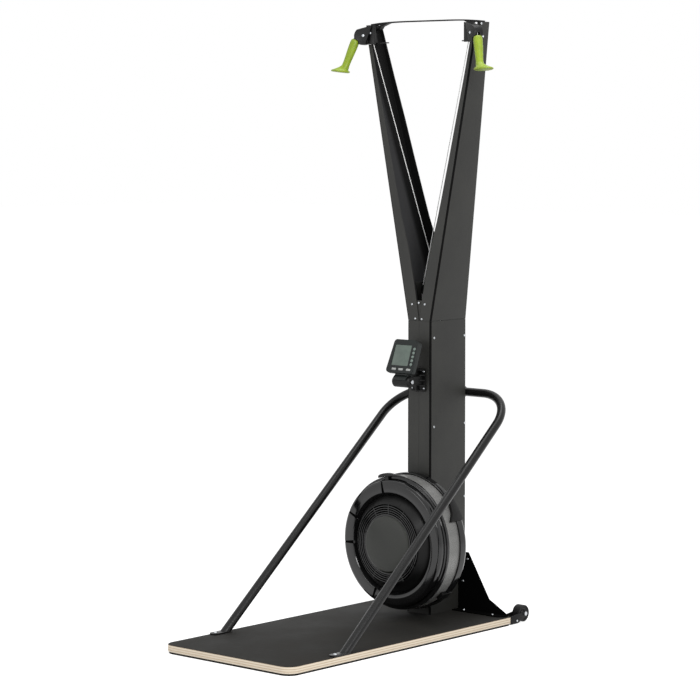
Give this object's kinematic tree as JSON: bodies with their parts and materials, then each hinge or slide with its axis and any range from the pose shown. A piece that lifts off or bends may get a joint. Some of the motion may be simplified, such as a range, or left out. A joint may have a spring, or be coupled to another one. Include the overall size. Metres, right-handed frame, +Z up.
{
  "type": "ski trainer machine",
  "caption": "Standing ski trainer: a board, a sheet metal column with spread arms, cord grips over pulleys, an air flywheel with damper and a tilting monitor.",
  "frame": {"origin": "middle of the footprint, on the floor", "axes": "+X to the user's right, +Y from the user towards the column, +Z up"},
  "size_m": [0.758, 1.3075, 2.212],
  "materials": {
    "film_ply": "phenolic film on both faces, bare ply edge",
    "base_rubber": "matt",
    "column_paint": "satin powder coat",
    "dark_paint": "satin powder coat",
    "gloss_cover": "gloss moulding",
    "dark_moulding": "fine matt moulding",
    "bright_steel": "zinc plated",
    "screen_metal": "perforated sheet",
    "bare_aluminium": "as turned",
    "white_cord": "braided",
    "shock_cord": "braided cover",
    "green_grip": "soft matt",
    "lcd_glass": "clear window over a grey display",
    "light_key": "soft matt",
    "wheel_tyre": "matt"
  },
  "bodies": {
    "machine_frame": {"platform_board": "film_ply", "base_pad": "base_rubber", "left_gusset": "dark_paint", "right_gusset": "dark_paint", "support_hoop": "dark_paint", "hoop_saddle": "dark_paint", "left_wheel_bracket": "dark_paint", "right_wheel_bracket": "dark_paint", "left_wheel_axle": "bright_steel", "right_wheel_axle": "bright_steel", "left_column_channel": "column_paint", "right_column_channel": "column_paint", "left_arm": "column_paint", "right_arm": "column_paint", "arm_joint_plate": "column_paint", "cross_bar": "dark_paint", "left_pulley_head": "dark_moulding", "right_pulley_head": "dark_moulding", "left_arm_cord": "white_cord", "right_arm_cord": "white_cord", "idler_bracket": "dark_paint", "left_return_cord": "shock_cord", "right_return_cord": "shock_cord", "front_bearing": "bright_steel", "rear_bearing": "bright_steel", "flywheel_cover": "gloss_cover", "intake_grille": "dark_moulding", "centre_cap": "dark_moulding", "perforated_screen": "screen_metal", "rear_housing": "gloss_cover", "screen_bracket": "dark_moulding", "screen_clip": "dark_moulding", "monitor_bracket": "dark_moulding", "monitor_pivot": "dark_moulding"},
    "left_handle": {"left_handle": "green_grip", "left_pull_cord": "white_cord"},
    "right_handle": {"right_handle": "green_grip", "right_pull_cord": "white_cord"},
    "left_top_pulley": {"left_top_pulley": "dark_moulding"},
    "right_top_pulley": {"right_top_pulley": "dark_moulding"},
    "left_idler": {"left_idler_pulley": "dark_moulding"},
    "right_idler": {"right_idler_pulley": "dark_moulding"},
    "left_drum": {"left_cord_drum": "bare_aluminium"},
    "right_drum": {"right_cord_drum": "bare_aluminium"},
    "flywheel": {"flywheel_fan": "bare_aluminium", "drive_shaft": "bright_steel"},
    "damper": {"damper_ring": "dark_moulding", "damper_lever": "dark_moulding"},
    "monitor": {"monitor_case": "dark_moulding", "lcd_window": "lcd_glass"},
    "left_transport_wheel": {"left_wheel": "wheel_tyre"},
    "right_transport_wheel": {"right_wheel": "wheel_tyre"},
    "button_1": {"side_button_1": "dark_moulding"},
    "button_2": {"side_button_2": "dark_moulding"},
    "button_3": {"side_button_3": "dark_moulding"},
    "button_4": {"side_button_4": "dark_moulding"},
    "button_5": {"side_button_5": "dark_moulding"},
    "key_1": {"soft_key_1": "light_key"},
    "key_2": {"soft_key_2": "light_key"},
    "key_3": {"soft_key_3": "light_key"}
  },
  "joints": [
    {"name": "left_handle_pull", "type": "slide", "parent": "machine_frame", "child": "left_handle", "axis": [-0.2762, -0.2325, -0.9325], "range_m": [0, 0.9], "stiffness_N_per_m": 12, "springref_m": -1.2},
    {"name": "left_top_pulley_turn", "type": "hinge", "parent": "machine_frame", "child": "left_top_pulley", "pos_m": [-0.262, 0.357, 2.159], "axis": [-0.3746, 0.9272, 0], "range_deg": [-1995, 0]},
    {"name": "right_handle_pull", "type": "slide", "parent": "machine_frame", "child": "right_handle", "axis": [0.2762, -0.2325, -0.9325], "range_m": [0, 0.9], "stiffness_N_per_m": 12, "springref_m": -1.2},
    {"name": "right_top_pulley_turn", "type": "hinge", "parent": "machine_frame", "child": "right_top_pulley", "pos_m": [0.262, 0.357, 2.159], "axis": [0.3746, 0.9272, 0], "range_deg": [0, 1995]},
    {"name": "left_idler_turn", "type": "hinge", "parent": "machine_frame", "child": "left_idler", "pos_m": [-0.043, 0.521, 1.2], "axis": [0, 1, 0], "range_deg": [-2880, 0]},
    {"name": "right_idler_turn", "type": "hinge", "parent": "machine_frame", "child": "right_idler", "pos_m": [-0.007, 0.416, 1.215], "axis": [0, 1, 0], "range_deg": [0, 2880]},
    {"name": "left_drum_turn", "type": "hinge", "parent": "machine_frame", "child": "left_drum", "pos_m": [0, 0.521, 0.304], "axis": [0, 1, 0], "range_deg": [0, 2080]},
    {"name": "right_drum_turn", "type": "hinge", "parent": "machine_frame", "child": "right_drum", "pos_m": [0, 0.416, 0.304], "axis": [0, 1, 0], "range_deg": [0, 2080]},
    {"name": "flywheel_spin", "type": "hinge", "parent": "machine_frame", "child": "flywheel", "pos_m": [0, 0.271, 0.304], "axis": [0, 1, 0], "continuous": true},
    {"name": "damper_turn", "type": "hinge", "parent": "machine_frame", "child": "damper", "pos_m": [0, 0.2335, 0.304], "axis": [0, 1, 0], "range_deg": [0, 35]},
    {"name": "monitor_tilt", "type": "hinge", "parent": "machine_frame", "child": "monitor", "pos_m": [0, 0.276, 0.887], "axis": [1, 0, 0], "range_deg": [-10, 30]},
    {"name": "button_1_press", "type": "slide", "parent": "monitor", "child": "button_1", "axis": [0, 0.9354, -0.3535], "range_m": [0, 0.0012], "stiffness_N_per_m": 400, "springref_m": -0.001},
    {"name": "button_2_press", "type": "slide", "parent": "monitor", "child": "button_2", "axis": [0, 0.9354, -0.3535], "range_m": [0, 0.0012], "stiffness_N_per_m": 400, "springref_m": -0.001},
    {"name": "button_3_press", "type": "slide", "parent": "monitor", "child": "button_3", "axis": [0, 0.9354, -0.3535], "range_m": [0, 0.0012], "stiffness_N_per_m": 400, "springref_m": -0.001},
    {"name": "button_4_press", "type": "slide", "parent": "monitor", "child": "button_4", "axis": [0, 0.9354, -0.3535], "range_m": [0, 0.0012], "stiffness_N_per_m": 400, "springref_m": -0.001},
    {"name": "button_5_press", "type": "slide", "parent": "monitor", "child": "button_5", "axis": [0, 0.9354, -0.3535], "range_m": [0, 0.0012], "stiffness_N_per_m": 400, "springref_m": -0.001},
    {"name": "key_1_press", "type": "slide", "parent": "monitor", "child": "key_1", "axis": [0, 0.9354, -0.3535], "range_m": [0, 0.0012], "stiffness_N_per_m": 400, "springref_m": -0.001},
    {"name": "key_2_press", "type": "slide", "parent": "monitor", "child": "key_2", "axis": [0, 0.9354, -0.3535], "range_m": [0, 0.0012], "stiffness_N_per_m": 400, "springref_m": -0.001},
    {"name": "key_3_press", "type": "slide", "parent": "monitor", "child": "key_3", "axis": [0, 0.9354, -0.3535], "range_m": [0, 0.0012], "stiffness_N_per_m": 400, "springref_m": -0.001},
    {"name": "left_wheel_turn", "type": "hinge", "parent": "machine_frame", "child": "left_transport_wheel", "pos_m": [-0.2754, 0.624, 0.032], "axis": [1, 0, 0], "continuous": true},
    {"name": "right_wheel_turn", "type": "hinge", "parent": "machine_frame", "child": "right_transport_wheel", "pos_m": [0.2754, 0.624, 0.032], "axis": [1, 0, 0], "continuous": true}
  ],
  "couplings": [
    {"joint": "left_top_pulley_turn", "follows": "left_handle_pull", "rad_per_m": -38.462},
    {"joint": "right_top_pulley_turn", "follows": "right_handle_pull", "rad_per_m": 38.462},
    {"joint": "left_idler_turn", "follows": "left_handle_pull", "rad_per_m": -55.556},
    {"joint": "right_idler_turn", "follows": "right_handle_pull", "rad_per_m": 55.556},
    {"joint": "left_drum_turn", "follows": "left_handle_pull", "rad_per_m": 40},
    {"joint": "right_drum_turn", "follows": "right_handle_pull", "rad_per_m": 40}
  ]
}
